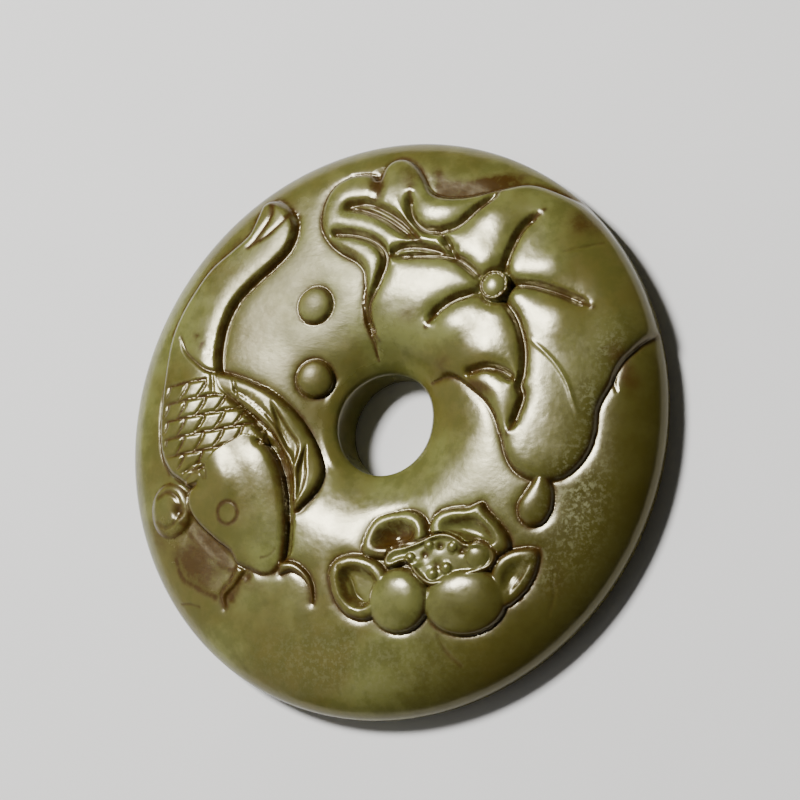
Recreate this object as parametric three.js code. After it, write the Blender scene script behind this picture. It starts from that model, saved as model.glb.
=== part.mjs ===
// A jade disc pendant: a thick round disc, pierced for a cord, with a flat plain back and a
// domed face carved in low relief with a carp, a folded lotus leaf, a lotus flower, two
// bubbles and a drop of dew.
//
// Millimetres. The back lies on z = 0 with the hole's axis on z, the carved face looks along
// +z, and +y runs towards the top of the carved picture. The whole skin is one closed band:
// it runs up the bore, out over the face, round the rim and back under the disc, and it is cut
// into finer cells wherever the carving has a line.

import * as THREE from 'three';

// ---- the plain disc ----
const DISC_RADIUS = 28;
const WIDEST_HEIGHT = 2;
const BACK_RADIUS = 26.2;
const BORE_RADIUS = 5;
const BORE_CHAMFER = 0.3;
const MOUTH_HEIGHT = 4.4;
const MOUTH_RADIUS = 6;
const CROWN_HEIGHT = 6.3;
const CROWN_RADIUS = 12.5;
const INNER_FALL = 0.03;
const OUTER_FALL = 0.0095;
const SHOULDER_RADIUS = 24;
const SHOULDER_POWER = 2.6;

// ---- the carving ----
const TRENCH_DEPTH = 0.2;
const TRENCH_WIDTH = 0.6;
const CREASE_DEPTH = 0.12;
const CREASE_HALF_WIDTH = 0.4;
const SCALE_TOP = 7;
const SCALE_SLANT = 0.12;
const SCALE_PITCH = 1.75;
const SCALE_WIDTH = 1.95;
const FLARE_REACH = 3.4;
const FLARE_DEPTH = 1.1;
const FLARE_DIRECTION = 1.35;
const FADE_START = 3.6;

// ---- the cells of the skin ----
const CELLS_AROUND = 16;
const CELLS_ALONG = 13;
const LEVELS = 6;
const FINEST_CELL = 0.74;
const CELL_GROWTH = 1.4;
const GROUND_CELL = 3.2;
const PLAIN_CELL = 7;
const BORE_CELL = 1.4;
const RIM_CELL = 3.6;
const RIM_ROWS = 1.8;
const STEPS_PER_SPAN = 5;

// ---------------------------------------------------------------------------------------
// Lines in the plane of the face
// ---------------------------------------------------------------------------------------

/** A smooth line through a few points, as a list of vectors. */
function flow(points, closed = false) {
  const knots = points.map(([x, y]) => new THREE.Vector3(x, y, 0));
  const curve = new THREE.CatmullRomCurve3(knots, closed, 'centripetal');
  const spans = closed ? knots.length : knots.length - 1;
  return curve.getPoints(spans * STEPS_PER_SPAN);
}

function loop(points) {
  return flow(points, true);
}

/** An ellipse, turned by an angle in degrees. */
function oval(x, y, a, b, turn = 0) {
  const angle = THREE.MathUtils.degToRad(turn);
  return new THREE.EllipseCurve(x, y, a, b, 0, Math.PI * 2, false, angle).getPoints(28);
}

/** A tapering ribbon round a centre line; its half width runs from wide to narrow. */
function ribbon(points, wide, narrow) {
  const middle = flow(points);
  const left = [];
  const right = [];
  middle.forEach((point, index) => {
    const before = middle[Math.max(index - 1, 0)];
    const after = middle[Math.min(index + 1, middle.length - 1)];
    const along = new THREE.Vector2(after.x - before.x, after.y - before.y).normalize();
    const half = THREE.MathUtils.lerp(wide, narrow, index / (middle.length - 1));
    left.push(new THREE.Vector2(point.x - along.y * half, point.y + along.x * half));
    right.unshift(new THREE.Vector2(point.x + along.y * half, point.y - along.x * half));
  });
  return [...left, ...right, left[0]];
}

/** Shortest distance from a place to a line. */
function distance(x, y, line) {
  let best = Infinity;
  for (let k = 1; k < line.length; k += 1) {
    const a = line[k - 1];
    const dx = line[k].x - a.x;
    const dy = line[k].y - a.y;
    const reach = ((x - a.x) * dx + (y - a.y) * dy) / Math.max(dx * dx + dy * dy, 1e-12);
    const t = THREE.MathUtils.clamp(reach, 0, 1);
    best = Math.min(best, Math.hypot(x - a.x - t * dx, y - a.y - t * dy));
  }
  return best;
}

/**
 * How strongly a line is felt at a point. Beside a long straight line it is 2 / distance^2, and
 * the pulls of several lines add up, so that depths taken from it have no creases of their own.
 */
function pull(x, y, line) {
  let total = 0;
  for (let k = 1; k < line.length; k += 1) {
    const a = line[k - 1];
    const length = Math.hypot(line[k].x - a.x, line[k].y - a.y);
    if (length > 1e-9) {
      const ux = (line[k].x - a.x) / length;
      const uy = (line[k].y - a.y) / length;
      const start = (x - a.x) * ux + (y - a.y) * uy;
      const end = start - length;
      const side = ((x - a.x) * uy - (y - a.y) * ux) ** 2 + 1e-5;
      total += (start / Math.sqrt(side + start ** 2) - end / Math.sqrt(side + end ** 2)) / side;
    }
  }
  return total;
}

/** A smooth stand-in for the distance to the nearest of several lines. */
function depth(x, y, lines) {
  const total = lines.reduce((sum, line) => sum + pull(x, y, line), 0);
  return Math.sqrt(2 / Math.max(total, 1e-9));
}

function inside(x, y, line) {
  let odd = false;
  for (let k = 1; k < line.length; k += 1) {
    const a = line[k - 1];
    const b = line[k];
    if ((a.y > y) !== (b.y > y) && x < a.x + ((y - a.y) * (b.x - a.x)) / (b.y - a.y)) {
      odd = !odd;
    }
  }
  return odd;
}

// ---------------------------------------------------------------------------------------
// Profiles of the carving
// ---------------------------------------------------------------------------------------

/** A swelling that climbs from its edge and is level at the distance run. */
function mound(d, rise, run) {
  const t = THREE.MathUtils.clamp(d / run, 0, 1);
  return rise * (1 - (1 - t) ** 2);
}

/** A soft pillow that goes on rising slowly towards its middle. */
function pillow(d, rise, run) {
  return rise * (1 - Math.exp(-d / run));
}

/** A petal's rolled lip, with a hollow behind it. */
function cup(d, rise) {
  return mound(d, rise, 0.75) - (rise + 0.05) * THREE.MathUtils.smoothstep(d, 0.85, 1.5);
}

/** A V-shaped cut. */
function cut(d, deep, halfWidth) {
  return deep * Math.max(0, 1 - d / halfWidth);
}

// ---------------------------------------------------------------------------------------
// The figures
// ---------------------------------------------------------------------------------------

const carpBody = loop([
  [-15.2, 19.4], [-19.2, 16.2], [-22.2, 11.8], [-23.5, 6.5], [-23.7, 0.4], [-22.3, -4],
  [-20.4, -5.4], [-15.5, -5.5], [-12, -3.5], [-13, 0.8], [-16.6, 4.9], [-16.95, 8.8],
  [-15.5, 12.6], [-11.8, 15.8], [-9.8, 19.1], [-10, 20.6], [-12.9, 22.7], [-14.1, 22.3],
]);
const carpHead = loop([
  [-13.4, -0.9], [-16.5, -2.3], [-18.4, -5], [-20, -7.1], [-16.7, -10.9], [-14.3, -13.2],
  [-11.5, -14.4], [-9.75, -13.3], [-9.65, -8.8], [-10.6, -4], [-11.7, -2],
]);
const longFin = loop([
  [-18.2, 5.8], [-14.8, 4.95], [-10.5, 2.8], [-7.2, -0.8], [-5.6, -4.6], [-6.8, -7.5],
  [-8.1, -8.5], [-8.5, -5.8], [-9.7, -2.7], [-12.3, 0.4], [-15.9, 3], [-17.6, 3.7],
]);
const finHollows = [
  loop([[-11.1, 2.5], [-8.9, -0.6], [-8, -2], [-8.4, -4.2], [-9.3, -2.7], [-10.9, 0.8]]),
  loop([[-7.46, -1.8], [-7, -5.2], [-7.95, -7.7], [-8.3, -4.4]]),
];
const tailCreases = [
  flow([[-12.8, 22.5], [-12.6, 20.8], [-14.7, 17.8]]),
  flow([[-10.5, 21], [-13, 18.6], [-14.7, 17.8]]),
];
const finCreases = [
  flow([[-21.6, 9.5], [-20.7, 7.7], [-17.7, 5.4], [-17.3, 3.6]]),
  flow([[-15.3, 4.7], [-14.7, 2.6]]),
];
const headRecess = loop([
  [-13.2, -0.6], [-9.6, -3.2], [-8.4, -8.4], [-8.5, -12.6], [-9.4, -13.5], [-10.6, -5],
]);
const cheekFin = loop([
  [-20.6, -9.3], [-19.4, -9.2], [-16.7, -12], [-14.4, -13.6], [-15.6, -15.3], [-16.9, -16.3],
  [-20.5, -14.5], [-21.8, -13.2], [-21.2, -11.4],
]);
const curledFin = oval(-22.1, -7.7, 2.35, 2.75, 10);
const curlCentre = new THREE.Vector2(-21.3, -7.7);
const barbels = [
  ribbon([[-9.6, -13.9], [-8.2, -13.8], [-6.9, -14.6], [-6, -16], [-5.9, -17.4]], 0.62, 0.2),
  ribbon([[-13.8, -13.6], [-14.8, -15.1], [-15.8, -16.1], [-15.6, -17.4]], 0.55, 0.25),
];
const eye = { centre: new THREE.Vector2(-15, -8.3), radius: 1.08 };

const leaf = loop([
  [-0.9, 7.6], [-1.95, 10.8], [-2.1, 14.6], [-4.6, 16.5], [-7.2, 19.6], [-6.3, 23.6],
  [-4.4, 24.55], [-2.2, 24.4], [-1.6, 23.9], [-1.3, 24.8], [-0.4, 25.8], [0.8, 25.95],
  [3.2, 23.9], [5.6, 21.6], [11, 22.1], [17, 21.6], [28, 13], [25.7, 6.2], [22.5, 0.3],
  [21.8, -3.7], [19.1, -6.4], [16.4, -6.5], [14.6, -5.6], [13, -2.4], [11.3, 1.2],
  [8.2, 3.3], [6.6, 5.4], [4.6, 6.9], [1.8, 7.6],
]);
const leafVeins = [
  [[12.45, 13.9], [13.2, 16.3], [15.9, 19.5]],
  [[13.5, 12.4], [18.2, 11.3], [21.5, 9.8]],
  [[12.8, 10.8], [15, 6.3], [14.8, 2.6], [15.1, 1.5], [13.9, -2]],
  [[9.9, 11.8], [7.4, 11.1], [5, 8.8]],
  [[10, 13.4], [7.6, 15.2], [0.4, 15.8]],
  [[7.4, 15.4], [5.7, 18], [2.7, 19.5], [2.15, 22.5]],
  [[5.7, 18], [7.4, 18.5], [11.6, 21.9]],
  [[-5.5, 18.55], [-1.4, 17.6], [0.25, 15.4], [-1.35, 11.2], [-0.3, 7.9]],
  [[-4.3, 21.2], [-0.4, 20.1], [3.6, 17]],
  [[9.6, 4.2], [11.4, 4.45], [14.8, 2.6]],
].map((points) => flow(points));
const button = { centre: new THREE.Vector2(11.77, 12.3), radius: 1.45 };
const buttonRing = oval(button.centre.x, button.centre.y, button.radius, button.radius);
const rimHollow = loop([
  [2.6, 25], [7.6, 24.4], [14, 22.9], [8, 21.5], [4.2, 22.3],
]);

const petals = {
  backLeft: loop([
    [-0.7, -12.8], [0.5, -9.4], [4, -8.8], [6.1, -10.8], [5.6, -12.6], [1, -13.4],
  ]),
  backRight: loop([
    [6.1, -10.6], [8.4, -8.75], [11.4, -8.3], [13.2, -10.3], [14.3, -12.9], [9, -12.6],
  ]),
  sideLeft: loop([
    [1.6, -14.2], [-1.6, -12.8], [-4.2, -14.2], [-3.3, -17.6], [-0.2, -19.1], [2.4, -16],
  ]),
  sideRight: loop([
    [12.6, -14.4], [15, -12.75], [17, -12.9], [16.2, -16.2], [13.4, -18.2], [12.4, -16.6],
  ]),
  frontLeft: oval(3.15, -17.3, 3.15, 3.1, -8),
  frontRight: oval(9.8, -17.5, 4.15, 3.2, 4),
};
const seedPod = loop([
  [6.5, -16.2], [4, -13.9], [1.6, -13.6], [3.8, -12.2], [8.2, -11.1], [10.1, -12.1],
  [12.4, -12.3], [12.6, -14.6],
]);
const drop = loop([
  [17.3, -4.2], [18.4, -7.6], [17.3, -10.6], [15.1, -9.9], [15.6, -7.5], [17, -4.8],
]);
const bubbles = [
  { centre: new THREE.Vector2(-7.1, 11.55), radius: 1.85 },
  { centre: new THREE.Vector2(-7, 4.45), radius: 1.85 },
];
const bubbleRings = bubbles.map(({ centre, radius }) => oval(centre.x, centre.y, radius, radius));

/** Every raised figure's outline: the ground is cut down a little all round them. */
const outlines = [
  carpBody, carpHead, longFin, curledFin, ...barbels, leaf, ...Object.values(petals), seedPod,
  drop, ...bubbleRings,
];

/** Every line of the carving, for choosing where the skin needs fine cells. */
const carvedLines = [
  ...outlines, ...tailCreases, ...finHollows, ...finCreases, headRecess, cheekFin, ...leafVeins, buttonRing,
  rimHollow,
];

// ---------------------------------------------------------------------------------------
// Height of the carving over the plain disc
// ---------------------------------------------------------------------------------------

/** Lifts the height to a figure's surface where the point lies inside its outline. */
function raise(height, x, y, outline, profile, creases = []) {
  if (!inside(x, y, outline)) {
    return height;
  }
  return Math.max(height, profile(depth(x, y, [outline, ...creases])) - TRENCH_DEPTH);
}

/** Puts a figure over whatever lies below it. */
function lay(height, x, y, outline, profile) {
  if (!inside(x, y, outline)) {
    return height;
  }
  return profile(distance(x, y, outline)) - TRENCH_DEPTH;
}

/** Sinks the inside of an outline by a depth, with a short slope at its edge. */
function sink(height, x, y, outline, deep, slope) {
  if (!inside(x, y, outline)) {
    return height;
  }
  return height - deep * THREE.MathUtils.smoothstep(distance(x, y, outline), 0, slope);
}

/** Rows of scales counted from the first one below the tail; the rows slant a little. */
function scaleRow(x, y) {
  return (y - SCALE_SLANT * x - SCALE_TOP) / SCALE_PITCH;
}

function onScales(x, y) {
  return scaleRow(x, y) < 0.1 && inside(x, y, carpBody) && !inside(x, y, carpHead);
}

/** The net of cuts between the carp's scales: slanting rows crossed by staggered strokes. */
function scaleCut(x, y) {
  if (!onScales(x, y)) {
    return 0;
  }
  const up = scaleRow(x, y);
  const row = Math.floor(up);
  const across = (x + 0.45 * y) / SCALE_WIDTH + 0.5 * Math.abs(row % 2);
  const toRow = Math.min(up - row, row + 1 - up) * SCALE_PITCH;
  const toStroke = Math.abs(across - Math.round(across)) * SCALE_WIDTH;
  return cut(Math.min(toRow, toStroke), 0.2, 0.55);
}

function carp(height, x, y) {
  let h = sink(height, x, y, headRecess, 0.35, 0.5);
  h = sink(h, x, y, cheekFin, 0.3, 0.5);
  h = raise(h, x, y, carpBody, (d) => mound(d, 0.95, 2.2)) - scaleCut(x, y);
  for (const crease of tailCreases) {
    h -= cut(distance(x, y, crease), 0.22, CREASE_HALF_WIDTH);
  }
  h = raise(h, x, y, longFin, (d) => mound(d, 0.85, 0.85));
  for (const hollow of finHollows) {
    h = sink(h, x, y, hollow, 0.4, 0.4);
  }
  for (const crease of finCreases) {
    h -= cut(distance(x, y, crease), 0.22, CREASE_HALF_WIDTH);
  }
  h = raise(h, x, y, carpHead, (d) => mound(d, 1.4, 3.3));
  h = raise(h, x, y, curledFin, (d) => mound(d, 0.8, 1.3));
  for (const barbel of barbels) {
    h = raise(h, x, y, barbel, (d) => mound(d, 0.5, 0.5));
  }
  const fromEye = Math.hypot(x - eye.centre.x, y - eye.centre.y);
  h -= cut(Math.abs(fromEye - eye.radius), 0.12, 0.3);
  const fromCurl = Math.hypot(x - curlCentre.x, y - curlCentre.y);
  return h - 0.5 * Math.max(0, 1 - fromCurl / 0.9);
}

function lotusLeaf(height, x, y) {
  let h = raise(height, x, y, leaf, (d) => pillow(d, 1, 0.8), [...leafVeins, buttonRing]);
  if (inside(x, y, leaf)) {
    const toVein = Math.min(...leafVeins.map((vein) => distance(x, y, vein)));
    h -= cut(toVein, CREASE_DEPTH, CREASE_HALF_WIDTH);
  }
  const fromButton = Math.hypot(x - button.centre.x, y - button.centre.y);
  if (fromButton < button.radius) {
    h = 0.4 + mound(button.radius - fromButton, 0.4, button.radius);
  }
  return sink(h, x, y, rimHollow, 0.55, 0.8);
}

function lotusFlower(height, x, y) {
  let h = lay(height, x, y, petals.backLeft, (d) => cup(d, 0.8));
  h = lay(h, x, y, petals.backRight, (d) => cup(d, 0.8));
  h = lay(h, x, y, petals.sideLeft, (d) => cup(d, 0.65));
  h = lay(h, x, y, petals.sideRight, (d) => cup(d, 0.55));
  h = lay(h, x, y, seedPod, (d) => mound(d, 0.7, 0.5));
  h = raise(h, x, y, petals.frontLeft, (d) => mound(d, 1.15, 2));
  return raise(h, x, y, petals.frontRight, (d) => mound(d, 1.15, 2.2));
}

function dewAndBubbles(height, x, y) {
  let h = raise(height, x, y, drop, (d) => mound(d, 0.75, 1.15));
  for (const ring of bubbleRings) {
    h = raise(h, x, y, ring, (d) => mound(d, 0.95, 1.05));
  }
  return h;
}

/** Where the leaf curls into the hole, the mouth of the bore opens out in a soft flare. */
function flare(x, y) {
  const turn = Math.max(0, Math.cos(Math.atan2(y, x) - FLARE_DIRECTION));
  const near = 1 - (Math.hypot(x, y) - BORE_RADIUS) / FLARE_REACH;
  return FLARE_DEPTH * turn ** 2 * THREE.MathUtils.clamp(near, 0, 1) ** 2;
}

function relief(x, y) {
  let h = -TRENCH_DEPTH * Math.exp(-depth(x, y, outlines) / TRENCH_WIDTH);
  h = carp(h, x, y);
  h = lotusLeaf(h, x, y);
  h = lotusFlower(h, x, y);
  h = dewAndBubbles(h, x, y);
  return h - flare(x, y);
}

// ---------------------------------------------------------------------------------------
// The plain disc's section
// ---------------------------------------------------------------------------------------

function domeHeight(radius) {
  const fall = radius < CROWN_RADIUS ? INNER_FALL : OUTER_FALL;
  return CROWN_HEIGHT - fall * (radius - CROWN_RADIUS) ** 2;
}

/** Height of the face: the dome, rounded over at the shoulder down to the widest ring. */
function faceHeight(radius) {
  const out = (radius - SHOULDER_RADIUS) / (DISC_RADIUS - SHOULDER_RADIUS);
  const share = Math.sqrt(1 - THREE.MathUtils.clamp(out, 0, 1) ** SHOULDER_POWER);
  return WIDEST_HEIGHT + (domeHeight(radius) - WIDEST_HEIGHT) * share;
}

function faceNormal(radius) {
  const step = 1e-3;
  const inner = Math.min(radius, DISC_RADIUS) - step;
  const slope = (faceHeight(inner + step) - faceHeight(inner)) / step;
  return new THREE.Vector2(-slope, 1).normalize();
}

/** Points (radius, height) of one stretch of the section, without its last point. */
function stretch(count, place) {
  return Array.from({ length: count }, (_, k) => place(k / count));
}

/** The closed section, from the widest ring: under the disc, up the bore and out over the face. */
function discSection() {
  const quarter = Math.PI / 2;
  const lipHeight = faceHeight(MOUTH_RADIUS)
    - 2 * INNER_FALL * (CROWN_RADIUS - MOUTH_RADIUS) * (MOUTH_RADIUS - BORE_RADIUS);
  const mouth = new THREE.QuadraticBezierCurve(
    new THREE.Vector2(BORE_RADIUS, MOUTH_HEIGHT),
    new THREE.Vector2(BORE_RADIUS, lipHeight),
    new THREE.Vector2(MOUTH_RADIUS, faceHeight(MOUTH_RADIUS)),
  );
  const points = [
    ...stretch(40, (t) => [
      BACK_RADIUS + (DISC_RADIUS - BACK_RADIUS) * Math.cos(t * quarter),
      WIDEST_HEIGHT * (1 - Math.sin(t * quarter)),
    ]),
    ...stretch(80, (t) => [
      THREE.MathUtils.lerp(BACK_RADIUS, BORE_RADIUS + BORE_CHAMFER, t), 0,
    ]),
    ...stretch(4, (t) => [
      BORE_RADIUS + BORE_CHAMFER * (1 - t), BORE_CHAMFER * t,
    ]),
    ...stretch(40, (t) => [
      BORE_RADIUS, THREE.MathUtils.lerp(BORE_CHAMFER, MOUTH_HEIGHT, t),
    ]),
    ...stretch(20, (t) => mouth.getPoint(t).toArray()),
    ...stretch(120, (t) => {
      const radius = THREE.MathUtils.lerp(MOUTH_RADIUS, SHOULDER_RADIUS, t);
      return [radius, faceHeight(radius)];
    }),
    ...stretch(80, (t) => {
      const out = Math.sin(t * quarter) ** (2 / SHOULDER_POWER);
      const radius = THREE.MathUtils.lerp(SHOULDER_RADIUS, DISC_RADIUS, out);
      return [radius, faceHeight(radius)];
    }),
  ];
  return [...points, points[0]].map(([radius, z]) => new THREE.Vector2(radius, z));
}

/**
 * The section by a parameter from 0 to 1 whose speed follows the radius, so that a square in
 * angle and parameter is a square on the skin too, at every radius. The rounded rim gets its
 * rows closer together.
 */
class Section {
  constructor(points) {
    this.points = points;
    this.marks = [0];
    for (let k = 1; k < points.length; k += 1) {
      const step = points[k].distanceTo(points[k - 1]);
      const radius = (points[k].x + points[k - 1].x) / 2;
      const rows = radius > SHOULDER_RADIUS && points[k].y !== 0 ? RIM_ROWS : 1;
      this.marks.push(this.marks[k - 1] + (step * rows) / radius);
    }
  }

  at(parameter) {
    const mark = parameter * this.marks[this.marks.length - 1];
    let k = 1;
    while (k < this.marks.length - 1 && this.marks[k] < mark) {
      k += 1;
    }
    const t = (mark - this.marks[k - 1]) / (this.marks[k] - this.marks[k - 1]);
    return this.points[k - 1].clone().lerp(this.points[k], t);
  }
}

const section = new Section(discSection());

/** True where a point of the section belongs to the carved face. */
function onFace(point) {
  return point.x > MOUTH_RADIUS && point.y > WIDEST_HEIGHT;
}

/** The cell size that a place on the skin needs. */
function neededSize(turn, parameter) {
  const point = section.at(parameter);
  if (point.y <= 0) {
    return PLAIN_CELL;
  }
  if (point.x <= MOUTH_RADIUS) {
    return BORE_CELL;
  }
  if (!onFace(point)) {
    return RIM_CELL;
  }
  const x = point.x * Math.cos(turn * Math.PI * 2);
  const y = point.x * Math.sin(turn * Math.PI * 2);
  if (onScales(x, y)) {
    return FINEST_CELL;
  }
  const toLine = Math.min(...carvedLines.map((line) => distance(x, y, line)));
  return Math.min(FINEST_CELL + CELL_GROWTH * toLine, GROUND_CELL, RIM_CELL);
}

/** A point of the finished skin, by turn round the axis and parameter along the section. */
function skinPoint(turn, parameter) {
  const point = section.at(parameter);
  const x = point.x * Math.cos(turn * Math.PI * 2);
  const y = point.x * Math.sin(turn * Math.PI * 2);
  if (!onFace(point)) {
    const share = Math.min(point.y / MOUTH_HEIGHT, 1) ** 2;
    return new THREE.Vector3(x, y, point.y - flare(x, y) * share);
  }
  const normal = faceNormal(point.x);
  const share = THREE.MathUtils.smoothstep(point.y, WIDEST_HEIGHT, FADE_START);
  const height = share * relief(x, y);
  const out = 1 + (height * normal.x) / point.x;
  return new THREE.Vector3(x * out, y * out, point.y + height * normal.y);
}

// ---------------------------------------------------------------------------------------
// The skin's cells
// ---------------------------------------------------------------------------------------

/** One level of the cells: a grid of marks that wraps round in both directions. */
class Level {
  constructor(number) {
    this.columns = CELLS_AROUND << number;
    this.rows = CELLS_ALONG << number;
    this.marks = new Uint8Array(this.columns * this.rows);
  }

  index(column, row) {
    const c = (column + this.columns) % this.columns;
    const r = (row + this.rows) % this.rows;
    return c + r * this.columns;
  }

  isCut(column, row) {
    return this.marks[this.index(column, row)] === 1;
  }

  cut(column, row) {
    this.marks[this.index(column, row)] = 1;
  }
}

function forEachCell(level, visit) {
  for (let row = 0; row < level.rows; row += 1) {
    for (let column = 0; column < level.columns; column += 1) {
      visit(column, row);
    }
  }
}

/** Marks the cells of each level that are cut in four, so that neighbours differ by one level. */
function planLevels() {
  const levels = Array.from({ length: LEVELS }, (_, number) => new Level(number));
  levels.forEach((level, number) => {
    forEachCell(level, (column, row) => {
      if (number === 0 || levels[number - 1].isCut(column >> 1, row >> 1)) {
        const turn = (column + 0.5) / level.columns;
        const parameter = (row + 0.5) / level.rows;
        const size = (section.at(parameter).x * Math.PI * 2) / level.columns;
        if (size > neededSize(turn, parameter)) {
          level.cut(column, row);
        }
      }
    });
  });
  for (let number = LEVELS - 1; number > 0; number -= 1) {
    const level = levels[number];
    forEachCell(level, (column, row) => {
      if (level.isCut(column, row)) {
        for (const [dc, dr] of [[0, 0], [1, 0], [-1, 0], [0, 1], [0, -1]]) {
          const c = (column + dc + level.columns) % level.columns;
          const r = (row + dr + level.rows) % level.rows;
          levels[number - 1].cut(c >> 1, r >> 1);
        }
      }
    });
  }
  return levels;
}

/** Builds the skin: every cell that isn't cut further becomes two triangles or a fan. */
function skinGeometry() {
  const levels = planLevels();
  const across = CELLS_AROUND << LEVELS;
  const along = CELLS_ALONG << LEVELS;
  const numbers = new Map();
  const positions = [];
  const triangles = [];

  const vertex = (i, j) => {
    const key = (i % across) + (j % along) * across;
    if (!numbers.has(key)) {
      numbers.set(key, numbers.size);
      positions.push(...skinPoint((i % across) / across, (j % along) / along).toArray());
    }
    return numbers.get(key);
  };

  const addCell = (number, column, row) => {
    const size = 1 << (LEVELS - number);
    const half = size >> 1;
    const i = column * size;
    const j = row * size;
    const neighbourCut = (dc, dr) => number < LEVELS && levels[number].isCut(column + dc, row + dr);
    const sides = [
      { corner: [i, j], middle: [i, j + half], finer: neighbourCut(-1, 0) },
      { corner: [i, j + size], middle: [i + half, j + size], finer: neighbourCut(0, 1) },
      { corner: [i + size, j + size], middle: [i + size, j + half], finer: neighbourCut(1, 0) },
      { corner: [i + size, j], middle: [i + half, j], finer: neighbourCut(0, -1) },
    ];
    const ring = [];
    for (const { corner, middle, finer } of sides) {
      ring.push(vertex(...corner));
      if (finer) {
        ring.push(vertex(...middle));
      }
    }
    if (ring.length === 4) {
      triangles.push(ring[0], ring[1], ring[2], ring[0], ring[2], ring[3]);
      return;
    }
    const centre = vertex(i + half, j + half);
    ring.forEach((corner, k) => triangles.push(centre, corner, ring[(k + 1) % ring.length]));
  };

  for (let number = 0; number <= LEVELS; number += 1) {
    const columns = CELLS_AROUND << number;
    const rows = CELLS_ALONG << number;
    for (let row = 0; row < rows; row += 1) {
      for (let column = 0; column < columns; column += 1) {
        const exists = number === 0 || levels[number - 1].isCut(column >> 1, row >> 1);
        const whole = number === LEVELS || !levels[number].isCut(column, row);
        if (exists && whole) {
          addCell(number, column, row);
        }
      }
    }
  }

  const geometry = new THREE.BufferGeometry();
  geometry.setAttribute('position', new THREE.Float32BufferAttribute(positions, 3));
  geometry.setIndex(triangles);
  geometry.computeVertexNormals();
  return geometry;
}

const jade = new THREE.MeshStandardMaterial({ color: 0x8a8a52, roughness: 0.28, metalness: 0 });
const disc = new THREE.Mesh(skinGeometry(), jade);
disc.name = 'jade_disc';

const pendant = new THREE.Group();
pendant.add(disc);

export default pendant;
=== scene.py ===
"""A carved jade disc pendant: its fine relief, its stone and a plain studio round it.

Heights and outlines are worked in millimetres on the disc's own face, x to the right and y to the
top of the carved picture, and turned into metres only when the mesh is made.
"""

import math

import bpy
import numpy as np
from bpy.props import FloatProperty, FloatVectorProperty, PointerProperty
from mathutils import Matrix, Vector


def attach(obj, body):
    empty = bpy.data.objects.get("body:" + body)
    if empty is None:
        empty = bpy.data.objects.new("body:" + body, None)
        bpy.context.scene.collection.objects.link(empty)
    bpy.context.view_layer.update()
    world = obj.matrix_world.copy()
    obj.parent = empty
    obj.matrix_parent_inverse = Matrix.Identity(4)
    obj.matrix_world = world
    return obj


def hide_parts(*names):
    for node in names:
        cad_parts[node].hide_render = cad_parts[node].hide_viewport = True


bl_info = {
    "name": "Carved Jade Disc",
    "version": (1, 0, 0),
    "blender": (4, 5, 0),
    "location": "View3D > Sidebar > Jade Disc",
    "description": "Carves a jade disc pendant and sets it on a plain studio floor",
    "category": "Add Mesh",
}

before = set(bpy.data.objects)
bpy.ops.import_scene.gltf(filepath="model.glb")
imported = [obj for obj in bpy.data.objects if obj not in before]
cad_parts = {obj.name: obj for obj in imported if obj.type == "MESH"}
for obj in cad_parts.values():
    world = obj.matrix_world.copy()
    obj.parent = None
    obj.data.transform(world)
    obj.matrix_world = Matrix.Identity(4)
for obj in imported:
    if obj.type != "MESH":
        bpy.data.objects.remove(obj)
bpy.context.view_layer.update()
MM = 0.001

# ---- the plain disc, in millimetres ----
DISC_RADIUS = 28.0
WIDEST_HEIGHT = 2.0
BACK_RADIUS = 26.2
BORE_RADIUS = 5.0
BORE_CHAMFER = 0.3
MOUTH_HEIGHT = 4.4
MOUTH_RADIUS = 6.0
CROWN_HEIGHT = 6.3
CROWN_RADIUS = 12.5
INNER_FALL = 0.03
OUTER_FALL = 0.0095
SHOULDER_RADIUS = 24.0
SHOULDER_POWER = 2.6
FADE_START = 3.6
BRINK_RADIUS = 9.0
FLARE_REACH = 3.4
FLARE_DEPTH = 1.1
FLARE_DIRECTION = 1.35

# ---- repeated measures of the carving, in millimetres ----
TRENCH_WIDTH = 0.6
SCALE_TOP = 7.0
SCALE_SLANT = 0.12
SCALE_WIDTH = 1.95
GROOVE_RUN = 0.35

# ---- counts of the skin's cells ----
CELLS_AROUND = 16
CELLS_ALONG = 13
LEVELS = 8


# ---- lines on the face ----


def flow(points, closed=False, steps=6):
    """A smooth line through a few places on the face."""
    knots = np.asarray(points, float)
    if closed:
        ring = np.vstack([knots[-1], knots, knots[0], knots[1]])
    else:
        ring = np.vstack([2 * knots[0] - knots[1], knots, 2 * knots[-1] - knots[-2]])
    u = (np.arange(steps) / steps)[:, None]
    spans = []
    for k in range(len(ring) - 3):
        a, b, c, d = ring[k:k + 4]
        before, span, after = (
            math.sqrt(math.dist(q, r)) + 1e-6 for q, r in ((b, a), (c, b), (d, c)))
        leave = ((b - a) / before - (c - a) / (before + span) + (c - b) / span) * span
        arrive = ((c - b) / span - (d - b) / (span + after) + (d - c) / after) * span
        spans.append((2 * u**3 - 3 * u**2 + 1) * b + (u**3 - 2 * u**2 + u) * leave
                     + (3 * u**2 - 2 * u**3) * c + (u**3 - u**2) * arrive)
    return np.vstack([*spans, ring[-2][None]])


def loop(points, steps=5):
    return flow(points, True, steps)


def oval(x, y, a, b, turn=0.0, count=40):
    """An ellipse with half axes a and b, turned by degrees."""
    t = np.linspace(0, 2 * np.pi, count + 1)
    c, s = math.cos(math.radians(turn)), math.sin(math.radians(turn))
    return np.column_stack([x + a * np.cos(t) * c - b * np.sin(t) * s,
                            y + a * np.cos(t) * s + b * np.sin(t) * c])


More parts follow.
